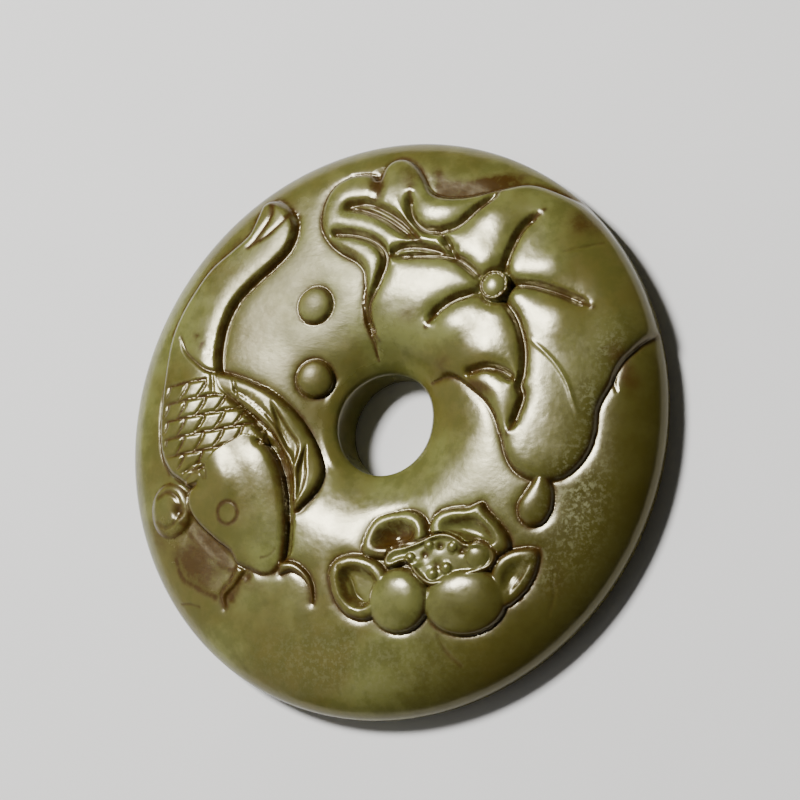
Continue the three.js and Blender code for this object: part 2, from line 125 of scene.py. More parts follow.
def ribbon(points, wide, narrow):
    """The outline of a tapering ribbon round a centre line."""
    middle = flow(points)
    along = np.gradient(middle, axis=0)
    along /= np.linalg.norm(along, axis=1)[:, None]
    half = np.linspace(wide, narrow, len(middle))[:, None]
    side = np.column_stack([-along[:, 1], along[:, 0]]) * half
    return np.vstack([middle + side, (middle - side)[::-1], (middle + side)[:1]])


def distance(x, y, line, reach=3.0):
    """Shortest distance to a line, and reach wherever it is further off than that."""
    best = np.full(x.shape, reach)
    low, high = line.min(0) - reach, line.max(0) + reach
    box = (x > low[0]) & (x < high[0]) & (y > low[1]) & (y < high[1])
    px, py = x[box], y[box]
    found = np.full(px.shape, reach)
    for (ax, ay), (bx, by) in zip(line[:-1], line[1:]):
        ux, uy = bx - ax, by - ay
        t = np.clip(((px - ax) * ux + (py - ay) * uy) / max(ux * ux + uy * uy, 1e-12), 0, 1)
        found = np.minimum(found, np.hypot(px - ax - t * ux, py - ay - t * uy))
    best[box] = found
    return best


def inside(x, y, outline):
    low, high = outline.min(0), outline.max(0)
    box = (x > low[0]) & (x < high[0]) & (y > low[1]) & (y < high[1])
    px, py = x[box], y[box]
    odd = np.zeros(px.shape, bool)
    for (ax, ay), (bx, by) in zip(outline[:-1], outline[1:]):
        if ay != by:
            odd ^= ((ay > py) != (by > py)) & (px < ax + (py - ay) * (bx - ax) / (by - ay))
    result = np.zeros(x.shape, bool)
    result[box] = odd
    return result


def depth(x, y, lines):
    """A smooth stand-in for the distance to the nearest of several lines.

    Each stretch of line pulls by 2 / distance^2, and the pulls add up, so that a form shaped by
    this depth has no creases of its own in its middle.
    """
    total = np.zeros(x.shape)
    for line in lines:
        for (ax, ay), (bx, by) in zip(line[:-1], line[1:]):
            size = math.hypot(bx - ax, by - ay)
            if size > 1e-9:
                ux, uy = (bx - ax) / size, (by - ay) / size
                start = (x - ax) * ux + (y - ay) * uy
                end = start - size
                side = ((x - ax) * uy - (y - ay) * ux)**2 + 1e-5
                total += (start / np.sqrt(side + start**2) - end / np.sqrt(side + end**2)) / side
    return np.sqrt(2 / np.maximum(total, 1e-9))


# ---- profiles of the carving ----


def smooth(value, low, high):
    t = np.clip((value - low) / (high - low), 0, 1)
    return t * t * (3 - 2 * t)


def mound(d, rise, run):
    """A round swelling that climbs steeply at its edge and is level at the distance run."""
    t = np.clip(d / run, 0, 1)
    return rise * np.sqrt(1 - (1 - t)**2)


def bank(d, rise, run):
    """A flatter swelling, with a gentle climb at its edge."""
    t = np.clip(d / run, 0, 1)
    return rise * (1 - (1 - t)**2)


def pillow(d, rise, run):
    """A soft pillow that goes on rising slowly towards its middle."""
    return rise * (1 - np.exp(-d / run))


def rounded(rise, run):
    """The mound as a profile for one figure."""
    return lambda d: mound(d, rise, run)


def leaning_dome(x, y, centre, a, b, turn, top, rise, fullness):
    """An oval dome whose top stands away from its centre by the shift top; -1 outside it."""
    c, s = math.cos(math.radians(turn)), math.sin(math.radians(turn))
    px, py = ((x - centre[0]) * c + (y - centre[1]) * s) / a, (
        (y - centre[1]) * c - (x - centre[0]) * s) / b
    sx, sy = (top[0] * c + top[1] * s) / a, (top[1] * c - top[0] * s) / b
    qx, qy = px - sx, py - sy
    along = qx * sx + qy * sy
    left = 1 - sx * sx - sy * sy
    t = (along + np.sqrt(along**2 + left * (qx**2 + qy**2))) / left
    return np.where(t < 1, rise * np.sqrt(np.maximum(1 - t**fullness, 0)), -1)


def notch(d, deep, half_width):
    """A V-shaped cut with a softened brink."""
    t = np.clip(1 - d / half_width, 0, 1)
    return deep * t**1.2


# ---- the figures' outlines ----

BODY_KNOTS = [
    (-15.2, 19.4), (-17.0, 17.9), (-19.2, 16.2), (-20.9, 14.0), (-22.2, 11.8), (-23.1, 9.4),
    (-23.5, 6.5), (-23.7, 3.2), (-23.7, 0.4), (-23.3, -2.2), (-22.3, -4.0), (-20.4, -5.4),
    (-15.5, -5.5), (-12.0, -3.5), (-11.6, -1.0), (-13.0, 0.8), (-15.4, 3.0), (-16.6, 4.9),
    (-17.0, 6.6), (-16.95, 8.8), (-16.5, 10.7), (-15.5, 12.6), (-13.6, 14.4), (-11.8, 15.8),
    (-10.3, 17.4), (-9.8, 19.1), (-10.0, 20.6), (-11.2, 21.9), (-12.9, 22.7), (-14.1, 22.3),
    (-14.7, 20.8)]
CARP_BODY = loop(BODY_KNOTS, 4)
CARP_BELLY = flow(BODY_KNOTS[26:13:-1])
CARP_BACK = flow(BODY_KNOTS[26:] + BODY_KNOTS[:12])
CARP_FLANK = flow([(-23.5, 4.4), (-23.75, 2.4), (-23.7, 0.2), (-23.3, -2.2), (-22.3, -4.0)])
HEAD_KNOTS = [
    (-13.4, -0.9), (-15.0, -1.5), (-16.5, -2.3), (-17.5, -3.5), (-18.4, -5.0), (-19.8, -5.7),
    (-20.0, -7.1), (-19.4, -8.5), (-16.7, -10.9), (-15.1, -12.0), (-14.3, -13.2),
    (-12.9, -13.8), (-11.5, -14.4), (-10.1, -14.2), (-9.3, -13.2), (-9.0, -11.4),
    (-9.0, -8.8), (-9.35, -6.2), (-10.0, -4.0), (-11.3, -2.0)]
CARP_HEAD = loop(HEAD_KNOTS)
# The head's edge without its neck, where it runs on into the back.
HEAD_EDGE = flow([(-19.1, -5.3), (-19.8, -5.9), *HEAD_KNOTS[6:], (-12.1, -1.4)])
LONG_FIN = loop([
    (-18.2, 5.8), (-16.3, 5.4), (-14.8, 4.95), (-12.5, 4.0), (-10.5, 2.8), (-8.6, 1.1),
    (-7.2, -0.8), (-6.1, -2.9), (-5.6, -4.6), (-5.9, -6.2), (-6.8, -7.5), (-8.1, -8.5),
    (-8.35, -7.3), (-8.5, -5.8), (-8.95, -4.1), (-9.7, -2.7), (-10.8, -1.0), (-12.3, 0.4),
    (-14.0, 1.7), (-15.9, 3.0), (-17.6, 3.7)], 4)
FIN_HOLLOWS = [
    loop([(-11.1, 2.5), (-10.1, 1.2), (-8.9, -0.6), (-8.0, -2.0), (-8.4, -4.2), (-9.3, -2.7),
          (-10.3, -1.0), (-10.9, 0.8)]),
    loop([(-7.46, -1.8), (-7.2, -3.6), (-7.0, -5.2), (-7.3, -6.8), (-7.95, -7.7),
          (-8.2, -6.0), (-8.3, -4.4)]),
]
FIN_RAY = flow([
    (-15.0, 3.6), (-13.2, 2.5), (-11.7, 1.3), (-10.4, -0.3), (-9.5, -1.9), (-8.9, -3.4)])
HEAD_RECESS = loop([
    (-13.2, -0.6), (-11.2, -1.0), (-9.5, -2.9), (-8.5, -5.4), (-8.1, -8.4), (-8.0, -10.6),
    (-8.2, -12.6), (-9.2, -13.5), (-10.5, -12.5), (-10.6, -5.0), (-12.4, -2.0)], 4)
CHEEK_FIN = loop([
    (-20.6, -9.3), (-19.4, -8.0), (-18.2, -8.6), (-17.0, -9.8), (-15.5, -11.2), (-13.9, -12.8),
    (-14.4, -14.3), (-15.4, -15.2), (-16.7, -16.3), (-18.6, -15.4), (-20.5, -14.5),
    (-21.7, -13.1), (-21.4, -12.0)], 4)
CURLED_FIN = oval(-22.1, -7.7, 2.35, 2.75, 10)
NECK = (-15.3, -2.6)
SNOUT = (-11.6, -14.0)
BARBELS = [
    ribbon([(-9.6, -13.9), (-8.2, -13.75), (-6.9, -14.5), (-6.1, -15.7), (-5.9, -17.3)],
           0.62, 0.1),
    ribbon([(-13.8, -13.6), (-14.8, -15.1), (-15.8, -16.1), (-15.6, -17.4)], 0.55, 0.12),
]
EYE = (-15.0, -8.4)
EYE_RADIUS = 1.08
EYE_RING = oval(*EYE, EYE_RADIUS, EYE_RADIUS)

LEAF_KNOTS = [
    (-0.9, 7.6), (-1.5, 9.0), (-1.95, 10.8), (-1.85, 12.8), (-2.1, 14.6), (-3.0, 15.6),
    (-4.6, 16.5), (-6.2, 17.8), (-7.2, 19.6), (-7.2, 21.8), (-6.3, 23.6), (-4.4, 24.55),
    (-2.2, 24.4), (-1.6, 23.9), (-1.3, 24.8), (-0.4, 25.8), (0.8, 25.95), (2.0, 25.3),
    (3.2, 23.9), (4.2, 22.3), (5.6, 21.6), (8.0, 21.5), (11.0, 22.1), (14.0, 22.6),
    (17.0, 21.6), (22.0, 19.0), (28.0, 13.0), (27.6, 8.5), (25.7, 6.2), (24.4, 4.4),
    (23.5, 2.4), (22.5, 0.3), (22.3, -1.9), (21.8, -3.7), (20.7, -5.3), (19.1, -6.4),
    (16.4, -6.5), (14.6, -5.6), (13.6, -4.2), (13.0, -2.4), (12.3, -0.4), (11.3, 1.2),
    (9.6, 2.6), (8.2, 3.6), (7.0, 4.0), (5.4, 3.8), (3.5, 3.6), (1.2, 4.0), (-0.4, 5.2)]
LEAF = loop(LEAF_KNOTS, 4)
LEAF_VEINS = {
    "up": flow([(12.45, 13.9), (13.2, 16.3), (14.2, 18.2), (15.9, 19.5)]),
    "right": flow([(13.5, 12.4), (15.4, 12.2), (18.2, 11.3), (21.5, 9.8)]),
    "down": flow([(12.8, 10.8), (14.0, 9.2), (15.0, 6.3), (15.05, 3.6), (14.8, 2.6),
                  (15.1, 1.5), (14.6, -0.2), (13.9, -2.0)]),
    "left": flow([(9.9, 11.8), (7.4, 11.1), (5.8, 10.0), (5.0, 8.8)]),
    "far_left": flow([(10.0, 13.4), (7.6, 15.2), (4.2, 15.75), (0.4, 15.8)]),
    "far_left_twin": flow([(1.0, 16.2), (2.2, 16.6), (4.8, 16.3), (7.4, 15.4)]),
    "stalk": flow([(7.4, 15.4), (6.6, 16.7), (5.7, 18.0)]),
    "fork_left": flow([(5.7, 18.0), (4.0, 18.35), (2.7, 19.5), (2.2, 21.0), (2.15, 22.5)]),
    "fork_right": flow([(5.7, 18.0), (7.4, 18.5), (9.4, 20.2), (11.6, 21.9)]),
    "inner_fold": flow([(-5.5, 18.55), (-3.4, 18.3), (-1.4, 17.6), (-0.1, 16.5),
                        (0.25, 15.4), (-0.4, 13.3), (-1.35, 11.2), (-1.2, 9.3), (-0.3, 7.9)]),
    "stroke": flow([(-4.2, 21.25), (-2.4, 21.3), (-0.6, 20.6), (1.6, 19.2), (3.9, 17.0)]),
    "stroke_twin": flow([(-4.3, 21.1), (-2.6, 20.7), (-0.4, 19.8), (1.6, 18.5), (3.4, 17.0)]),
    "lip": flow([(9.6, 4.2), (11.4, 4.45), (13.2, 3.9), (14.8, 2.6)]),
}
BUTTON = (11.77, 12.3)
BUTTON_RADIUS = 1.45
BUTTON_RING = oval(*BUTTON, BUTTON_RADIUS, BUTTON_RADIUS)
RIM_HOLLOW = flow([(2.4, 25.0), *LEAF_KNOTS[18:23], (15.0, 22.5)])

PETALS = {
    "back_left": loop([
        (-0.7, -12.8), (-0.4, -10.8), (0.5, -9.4), (2.2, -8.9), (4.0, -8.8), (5.3, -9.4),
        (6.1, -10.8), (5.6, -12.6), (3.0, -13.4), (1.0, -13.4)]),
    "back_right": loop([
        (6.1, -10.6), (6.9, -9.2), (8.4, -8.75), (10.2, -8.7), (11.4, -8.3), (12.0, -9.1),
        (13.2, -10.3), (14.2, -11.7), (14.3, -12.9), (12.6, -13.6), (9.0, -12.6),
        (6.8, -12.0)]),
    "side_left": loop([
        (1.6, -14.2), (0.4, -13.3), (-1.6, -12.8), (-3.3, -13.1), (-4.2, -14.2),
        (-4.0, -15.9), (-3.3, -17.6), (-1.9, -18.8), (-0.2, -19.1), (1.6, -18.0),
        (2.4, -16.0)]),
    "side_right": loop([
        (12.6, -14.4), (13.4, -13.4), (15.0, -12.75), (17.0, -12.9), (17.0, -14.4),
        (16.2, -16.2), (14.9, -17.6), (13.4, -18.2), (12.4, -16.6)]),
    "front_left": oval(3.15, -17.3, 3.15, 3.1, -8),
    "front_right": oval(9.8, -17.5, 4.15, 3.2, 4),
}
PETAL_HEARTS = flow([(1.7, -11.9), (2.7, -11.4), (3.9, -11.6)])
SEED_POD = loop([
    (6.5, -16.2), (4.8, -15.0), (4.0, -13.9), (2.0, -14.4), (1.6, -13.6), (2.3, -12.5),
    (3.8, -12.2), (5.4, -11.7), (6.8, -11.15), (8.2, -11.1), (9.4, -11.6), (10.1, -12.1),
    (11.3, -11.9), (12.4, -12.3), (13.2, -13.4), (12.6, -14.6), (9.5, -15.5)])
DROP = loop([
    (17.3, -4.2), (17.7, -5.6), (18.4, -7.6), (18.2, -9.4), (17.3, -10.6), (16.1, -10.75),
    (15.1, -9.9), (14.95, -8.6), (15.6, -7.5), (16.6, -6.0), (17.0, -4.8)])
BUBBLES = [(-7.1, 11.55), (-7.0, 4.45)]
BUBBLE_RADIUS = 1.85
BUBBLE_TOP = (0.0, 0.1)
BUBBLE_RINGS = [oval(*centre, BUBBLE_RADIUS, BUBBLE_RADIUS) for centre in BUBBLES]

OUTLINES = [CARP_BELLY, CARP_HEAD, LONG_FIN, *BARBELS, LEAF, *PETALS.values(),
            SEED_POD, DROP, *BUBBLE_RINGS]

# Single cuts: the line, how deep, half its width, and how brown it has become.
CUTS = [
    (flow([(-12.8, 22.5), (-12.6, 20.8), (-13.4, 19.3), (-14.7, 17.75)]), 0.1, 0.5, 1.0),
    (flow([(-10.5, 21.0), (-11.6, 19.7), (-13.0, 18.6), (-14.7, 17.75)]), 0.08, 0.45, 0.9),
    (flow([(-14.0, 22.3), (-14.4, 20.6), (-15.0, 19.6)]), 0.1, 0.5, 0.9),
    (flow([(-23.4, -6.4), (-22.4, -5.9), (-21.3, -6.3), (-20.6, -7.3)]), 0.16, 0.4, 0.8),
    (flow([(-23.4, -8.7), (-22.5, -9.3), (-21.6, -9.1), (-21.0, -8.4)]), 0.14, 0.35, 0.6),
    (flow([(-21.5, 9.2), (-20.7, 7.65), (-19.4, 6.5), (-18.2, 5.7), (-16.3, 5.35)]),
     0.22, 0.32, 0.7),
    (flow([(-17.6, 5.3), (-17.3, 3.6)]), 0.2, 0.3, 0.5),
    (flow([(-15.25, 4.6), (-14.7, 2.7)]), 0.2, 0.3, 0.5),
    (flow([(-20.2, -4.5), (-19.3, -3.7), (-18.2, -3.4), (-17.5, -4.2), (-17.45, -4.9)]),
     0.12, 0.25, 0.5),
    (flow([(-19.9, -5.1), (-19.2, -4.4), (-18.3, -4.3), (-17.8, -4.9)]), 0.12, 0.25, 0.5),
    (flow([(-11.4, -12.8), (-10.6, -12.65), (-9.9, -12.1)]), 0.03, 0.25, 0.6),
    (flow([(-20.6, -8.6), (-19.6, -10.2), (-18.2, -11.6), (-16.4, -13.0), (-14.4, -13.9)]),
     -0.02, 0.7, 0.9),
    (flow([(-21.3, -12.4), (-20.5, -14.3), (-18.6, -15.4), (-16.7, -16.3)]), 0.03, 0.5, 0.9),
    (CARP_FLANK, 0.1, 0.4, 0.9), (CARP_BACK[:60], 0.0, 0.6, 0.9),
    (flow([(18.3, 15.25), (19.9, 15.6), (21.5, 16.05)]), 0.1, 0.25, 0.4),
    (flow([(15.8, 6.8), (17.2, 5.6), (18.5, 4.2), (19.5, 2.6), (20.1, 1.0), (20.6, -0.3)]),
     -0.08, 0.35, 0.0),
    (flow([(-1.5, 24.4), (-1.3, 23.2), (-1.4, 22.0)]), 0.3, 1.0, 1.0),
    (flow([(-4.6, 24.6), (-1.8, 24.4)]), 0.12, 0.3, 0.8),
    (flow([(25.7, 6.0), (24.2, 4.45), (23.7, 2.9), (24.0, 1.95)]), 0.12, 0.3, 0.8),
    (flow([(-2.9, -14.1), (-2.0, -15.2), (-1.4, -16.6), (-0.3, -17.4)]), 0.25, 0.4, 0.3),
    (flow([(16.2, -14.2), (15.3, -15.4), (14.3, -16.8)]), 0.2, 0.35, 0.3),
    (flow([(7.0, -20.6), (7.9, -22.2), (9.2, -23.4)]), 0.08, 0.35, 0.5),
    (flow([(18.3, -15.0), (18.4, -17.2), (17.8, -18.8)]), 0.06, 0.3, 0.3),
    (flow([(-21.0, -16.6), (-19.8, -16.75), (-18.6, -17.1)]), 0.06, 0.2, 0.6),
    (flow([(22.6, 5.8), (24.0, 6.0)]), 0.05, 0.2, 0.5),
]

CARVED_LINES = [*OUTLINES, CARP_BODY, CURLED_FIN, EYE_RING, *FIN_HOLLOWS, HEAD_RECESS,
                CHEEK_FIN, *LEAF_VEINS.values(), BUTTON_RING, RIM_HOLLOW,
                *(line for line, *_ in CUTS)]

# Brown that has crept into the stone: place, half axes, turn in degrees, how strong.
RUSSET_PATCHES = [
    (-1.5, 23.2, 0.9, 1.8, 0, 1.0), (-3.3, 16.0, 2.0, 0.9, -40, 0.7),
    (3.1, 10.1, 1.3, 1.2, 0, 0.5), (1.95, 23.5, 1.0, 1.6, 20, 0.7),
    (10.8, 2.6, 2.4, 0.8, -20, 0.8), (19.5, 18.0, 1.9, 1.3, -30, 0.7),
    (-15.0, -1.6, 1.3, 0.8, 20, 0.8), (-18.9, -13.0, 3.2, 1.9, -40, 1.2),
    (24.6, 4.0, 1.0, 2.8, 25, 0.8), (-23.5, -10.0, 1.4, 2.2, 30, 0.5),
    (-12.5, -15.3, 2.5, 0.7, -5, 0.5), (6.8, 5.2, 1.2, 1.0, 0, 0.5),
    (-6.8, 18.9, 0.6, 3.4, -4, 0.5), (-18.3, 16.8, 5.5, 0.8, 44, 0.7),
    (18.5, -16.0, 1.6, 2.4, -20, 0.35), (-9.5, -4.6, 1.1, 4.4, 14, 0.9),
    (-22.6, 3.0, 0.8, 4.5, 0, 0.5), (-17.3, -11.3, 4.2, 0.9, -42, 1.2),
    (-14.6, -15.5, 0.9, 2.4, -30, 0.8), (1.9, -11.6, 2.4, 1.2, 20, 0.6),
    (-20.9, -7.9, 0.9, 1.1, 0, 0.9),
]

# Low swells left by the carver's hand: place, half axes, turn in degrees, height.
SWELLS = [
    (11.2, 19.5, 2.4, 1.6, -30, 0.2), (5.9, 20.8, 2.2, 1.4, 0, 0.16),
    (17.6, 14.1, 1.8, 1.8, 0, 0.23), (18.4, 8.9, 1.8, 2.4, 0, 0.19),
    (11.3, 5.5, 1.4, 1.6, 0, 0.15), (7.8, 8.6, 1.8, 1.5, 20, 0.12),
    (-20.2, 0.6, 2.2, 4.5, -6, 0.33), (-16.0, -4.5, 1.5, 3.2, 25, 0.27),
]

# Small pits: place, radius and depth.
PITS = [(-19.0, 8.2, 0.3, 0.06), (-18.2, 7.4, 0.3, 0.06), (-19.7, 9.2, 0.3, 0.06),
        (-18.0, 9.0, 0.25, 0.05), (-13.1, -14.5, 0.5, 0.1), (-15.0, -16.4, 0.5, 0.12),
        (-20.95, -7.9, 0.5, 0.35),
        (7.4, -12.4, 0.3, 0.25), (5.9, -13.2, 0.3, 0.2), (9.6, -12.9, 0.3, 0.2),
        (7.2, -14.2, 0.35, 0.2)]

# Small knobs on the seed pod: place and radius.
POD_KNOBS = [(4.4, -13.4, 0.5), (5.1, -13.9, 0.4), (6.7, -15.0, 0.55), (8.1, -14.5, 0.55),
             (8.7, -12.5, 0.5), (6.3, -12.3, 0.45), (11.2, -13.4, 1.2)]

# Ground that is scraped rather than polished: place, half axes, turn in degrees, how much.
SCRAPED = [
    (-8.0, 11.5, 6.5, 8.5, 8, 1.0), (10.5, -6.0, 3.0, 4.5, -40, 0.3),
    (-18.5, -12.6, 4.5, 2.2, -42, 0.6), (2.0, -11.2, 2.4, 1.6, 10, 0.8),
]

# Where pale grains have come out in the stone: place, half axes, turn in degrees, how much.
PALE_GRAINS = [
    (20.6, -8.0, 2.2, 5.2, -8, 0.9), (21.6, 0.8, 1.0, 2.4, 10, 0.7), (23.0, 6.0, 1.5, 2.5, 0, 0.5),
    (17.5, -14.5, 2.2, 2.0, 0, 0.5), (-2.0, -22.5, 9.0, 3.0, 0, 0.35),
]


# ---- carving the face ----


class Carving:
    """Heights over the plain dome at many places of the face, with their brown and tool marks."""

    def __init__(self, x, y, shape):
        self.x = x
        self.y = y
        self.shape = shape
        self.height = np.zeros(x.shape)
        self.brown = np.zeros(x.shape)
        self.rough = np.zeros(x.shape)
        self.pale = np.zeros(x.shape)

    def cut_ground(self):
        """Lowers the ground a little all round the figures."""
        away = depth(self.x, self.y, OUTLINES)
        self.height = -self.shape.trench * np.exp(-away / TRENCH_WIDTH)
        self.brown = 0.9 * np.exp(-(away / 0.4)**2)

    def raise_figure(self, outline, profile, creases=(), over=False):
        """Lifts the inside of an outline to a profile of the depth behind its edge."""
        ok = inside(self.x, self.y, outline)
        d = depth(self.x[ok], self.y[ok], [outline, *creases])
        new = profile(d) - self.shape.trench
        old = self.height[ok]
        wins = np.ones(new.shape, bool) if over else new > old
        self.height[ok] = np.where(wins, new, old)
        self.brown[ok] = np.where(wins, 0.9 * np.exp(-(d / 0.45)**2), self.brown[ok])

    def raise_dome(self, centre, a, b, turn, top, rise, fullness=2.0):
        """A dome whose foot makes up three tenths of the face's slope under it."""
        dome = leaning_dome(self.x, self.y, centre, a, b, turn, top, rise, fullness)
        level = dome_height(np.array(math.hypot(*centre))) - dome_height(
            np.hypot(self.x, self.y))
        new = dome + 0.3 * level - self.shape.trench
        wins = (dome >= 0) & (new > self.height)
        self.height = np.where(wins, new, self.height)
        self.brown = np.where(wins, 0.9 * np.exp(-(dome / 0.4)**2), self.brown)

    def sink(self, outline, deep, slope):
        ok = inside(self.x, self.y, outline)
        d = distance(self.x[ok], self.y[ok], outline)
        self.height[ok] -= deep * smooth(d, 0, slope)

    def cut(self, line, deep, half_width, brown, brink=0.0):
        """A cut along a line, shallower at its ends, with a slim raised brink at both sides."""
        d = distance(self.x, self.y, line, 2.0)
        to_end = np.minimum(np.hypot(self.x - line[0, 0], self.y - line[0, 1]),
                            np.hypot(self.x - line[-1, 0], self.y - line[-1, 1]))
        self.height -= notch(d, deep, half_width) * (0.4 + 0.6 * smooth(to_end, 0, 1.5))
        from_brink = (d - 1.4 * half_width) / (0.5 * half_width)
        self.height += brink * smooth(to_end, 0.3, 1.5) * np.exp(-from_brink**2)
        self.brown = np.maximum(self.brown, brown * np.exp(-(d / (0.8 * half_width))**2))

    def spot(self, x, y, a, b, turn):
        """A soft oval spot, 1 at its middle."""
        c, s = math.cos(math.radians(turn)), math.sin(math.radians(turn))
        dx, dy = self.x - x, self.y - y
        return np.exp(-((dx * c + dy * s) / a)**2 - ((dy * c - dx * s) / b)**2)

    def stain(self, x, y, a, b, turn, amount):
        self.brown = np.maximum(self.brown, amount * self.spot(x, y, a, b, turn))

    def swell(self, x, y, a, b, turn, rise):
        self.height += rise * self.spot(x, y, a, b, turn)

    def scrape(self, x, y, a, b, turn, amount):
        self.rough = np.maximum(self.rough, amount * self.spot(x, y, a, b, turn))


def scale_row(x, y):
    """Millimetres above the line where the scales end at the tail."""
    return y - SCALE_SLANT * x - SCALE_TOP


def carve_scales(face):
    """The net of cuts between the scales: slanting rows crossed by short bowed strokes."""
    x, y = face.x, face.y
    up = scale_row(x, y) / face.shape.scale_pitch
    ok = inside(x, y, CARP_BODY) & ~inside(x, y, CARP_HEAD) & ~inside(x, y, LONG_FIN)
    ok &= (up < 0.08) & (up > -5.1) & ~inside(x, y, HEAD_RECESS)
    share = smooth(distance(x, y, CARP_BACK), 0.4, 1.9)
    row = np.floor(up)
    within = up - row
    across = (x - 0.55 * y + 0.9 * (within - 0.5)**2) / SCALE_WIDTH + 0.5 * (row % 2)
    to_row = np.minimum(within, 1 - within) * face.shape.scale_pitch
    to_stroke = np.abs(across - np.round(across)) * 1.7
    d = np.minimum(to_row, to_stroke)
    tilt = -0.16 * (across - np.floor(across) - 0.5)
    face.height += np.where(ok, share * (tilt - notch(d, 0.15, 0.34)), 0)
    face.brown = np.where(ok, np.maximum(face.brown, share * np.exp(-(d / 0.2)**2)), face.brown)


def carve_head(face):
    """The head is highest at the neck and falls steadily to the snout."""
    reach = math.dist(NECK, SNOUT)
    ux, uy = (SNOUT[0] - NECK[0]) / reach, (SNOUT[1] - NECK[1]) / reach
    x, y = face.x, face.y
    along = (x - NECK[0]) * ux + (y - NECK[1]) * uy
    top = 1.12 - 0.07 * (np.sqrt((along - 2.5)**2 + 2.0) + along - 2.5) / 2
    ok = inside(x, y, CARP_HEAD)
    d = distance(x[ok], y[ok], HEAD_EDGE, 6.0)
    level = mound(d, 0.7, 0.9) + bank(d, 0.3, 2.8)
    face.height[ok] = level * top[ok] - face.shape.trench
    face.brown[ok] = 0.9 * np.exp(-(d / 0.45)**2)
    from_eye = np.hypot(x - EYE[0], y - EYE[1])
    from_ring = np.abs(from_eye - EYE_RADIUS)
    face.height -= notch(from_ring, 0.04, 0.25)
    face.brown = np.maximum(face.brown, np.exp(-(from_ring / 0.26)**2))


def carve_carp(face):
    face.sink(HEAD_RECESS, 0.4, 0.7)
    x, y = face.x, face.y
    from_head = distance(x, y, CARP_HEAD, 4.0)
    inner = np.where(inside(x, y, CHEEK_FIN), smooth(distance(x, y, CHEEK_FIN), 0, 0.8), 0)
    face.height -= inner * (face.height + 0.08 * (4.0 - from_head))
    ok = inside(x, y, CARP_BODY)
    from_belly = distance(x[ok], y[ok], CARP_BELLY, 6.0)
    side = mound(from_belly, 0.5, 0.6) + bank(from_belly, 0.3, 2.2)
    edge = bank(distance(x[ok], y[ok], CARP_BACK, 3.0), 1.0, 1.0)
    low = smooth(from_belly, 0, 0.6) - 1
    face.height[ok] = side * edge + face.shape.trench * low
    face.brown[ok] = 0.9 * np.exp(-(distance(x[ok], y[ok], CARP_BODY) / 0.4)**2)
    carve_scales(face)
    face.raise_figure(LONG_FIN, rounded(0.8, 0.8))
    face.cut(FIN_RAY, 0.2, 0.35, 0.5)
    for hollow in FIN_HOLLOWS:
        face.sink(hollow, 0.4, 0.5)
    carve_head(face)
    face.raise_figure(CURLED_FIN, lambda d: 0.2 + bank(d, 0.42, 1.3))
    for barbel, rise in zip(BARBELS, (0.45, 0.28)):
        face.raise_figure(barbel, rounded(rise, 0.5))


def carve_leaf(face):
    """The leaf: pillows between its veins, its button, and a soft end at the hole's brink."""
    face.raise_figure(LEAF, lambda d: pillow(d, 0.7, GROOVE_RUN), [BUTTON_RING])
    on_leaf = inside(face.x, face.y, LEAF)
    x, y = face.x[on_leaf], face.y[on_leaf]
    creases = [LEAF, BUTTON_RING, *(vein[:-4] for vein in LEAF_VEINS.values())]
    groove = np.zeros(x.shape)
    for vein in LEAF_VEINS.values():
        to_tip = np.hypot(x - vein[-1, 0], y - vein[-1, 1])
        soft = np.sqrt(distance(x, y, vein)**2 + 0.03) - 0.12
        groove = np.maximum(groove, smooth(to_tip, 0, 1.6) * np.exp(-soft / GROOVE_RUN))
    face.height[on_leaf] += pillow(depth(x, y, creases), 0.2, 1.2) - 0.7 * groove
    for vein in LEAF_VEINS.values():
        face.cut(vein, 0.05, 0.4, 0.9, 0.06)
    from_button = np.hypot(face.x - BUTTON[0], face.y - BUTTON[1])
    collar = 0.52 + mound(BUTTON_RADIUS - from_button, 0.25, 0.3)
    face.height = np.where(from_button < BUTTON_RADIUS, collar, face.height)
    dome = 0.45 + mound(1.2 - from_button, 0.4, 1.2)
    face.height = np.where(from_button < 1.2, dome, face.height)
    fade = smooth(np.hypot(face.x, face.y), MOUTH_RADIUS, BRINK_RADIUS)
    fade = np.where(on_leaf, fade, 1)
    face.height *= fade
    face.brown *= fade


def carve_rim_hollow(face):
    """A scraped hollow behind the leaf's upper edge, steep at the leaf and easy to the rim."""
    x, y = face.x, face.y
    d = distance(x, y, RIM_HOLLOW, 5.0)
    ends = smooth(x, 3.0, 5.5) * (1 - smooth(x, 11.0, 15.0)) * ~inside(x, y, LEAF)
    face.height -= ends * (1 - smooth(d, 2.5, 4.5)) * (face.height + 0.25 * (1 - d / 4.5))
    hollow = ends * (1 - smooth(d, 1.0, 2.4))
    face.brown = np.maximum(face.brown, 1.15 * hollow)


def carve_flower(face):
    def cup(rise):
        return lambda d: mound(d, rise, 0.75) - (rise + 0.05) * smooth(d, 0.85, 1.5)

    for name, rise in (("back_left", 0.8), ("back_right", 0.8), ("side_left", 0.65),
                       ("side_right", 0.55)):
        face.raise_figure(PETALS[name], cup(rise), over=True)
    face.cut(PETAL_HEARTS, 0.35, 1.5, 1.3)
    face.raise_figure(SEED_POD, lambda d: mound(d, 0.75, 0.35) - 0.25 * smooth(d, 0.35, 0.7),
                      over=True)
    for x, y, radius in POD_KNOBS:
        knob = np.clip(1 - np.hypot(face.x - x, face.y - y) / radius, 0, 1)
        face.height += 0.3 * radius**0.5 * np.sqrt(1 - (1 - knob)**2)
    face.raise_dome((3.15, -17.3), 3.15, 3.1, -8, (0.8, 0.3), 1.15, 2.4)
    face.raise_dome((9.8, -17.5), 4.15, 3.2, 4, (-0.3, 0.3), 1.15, 2.4)


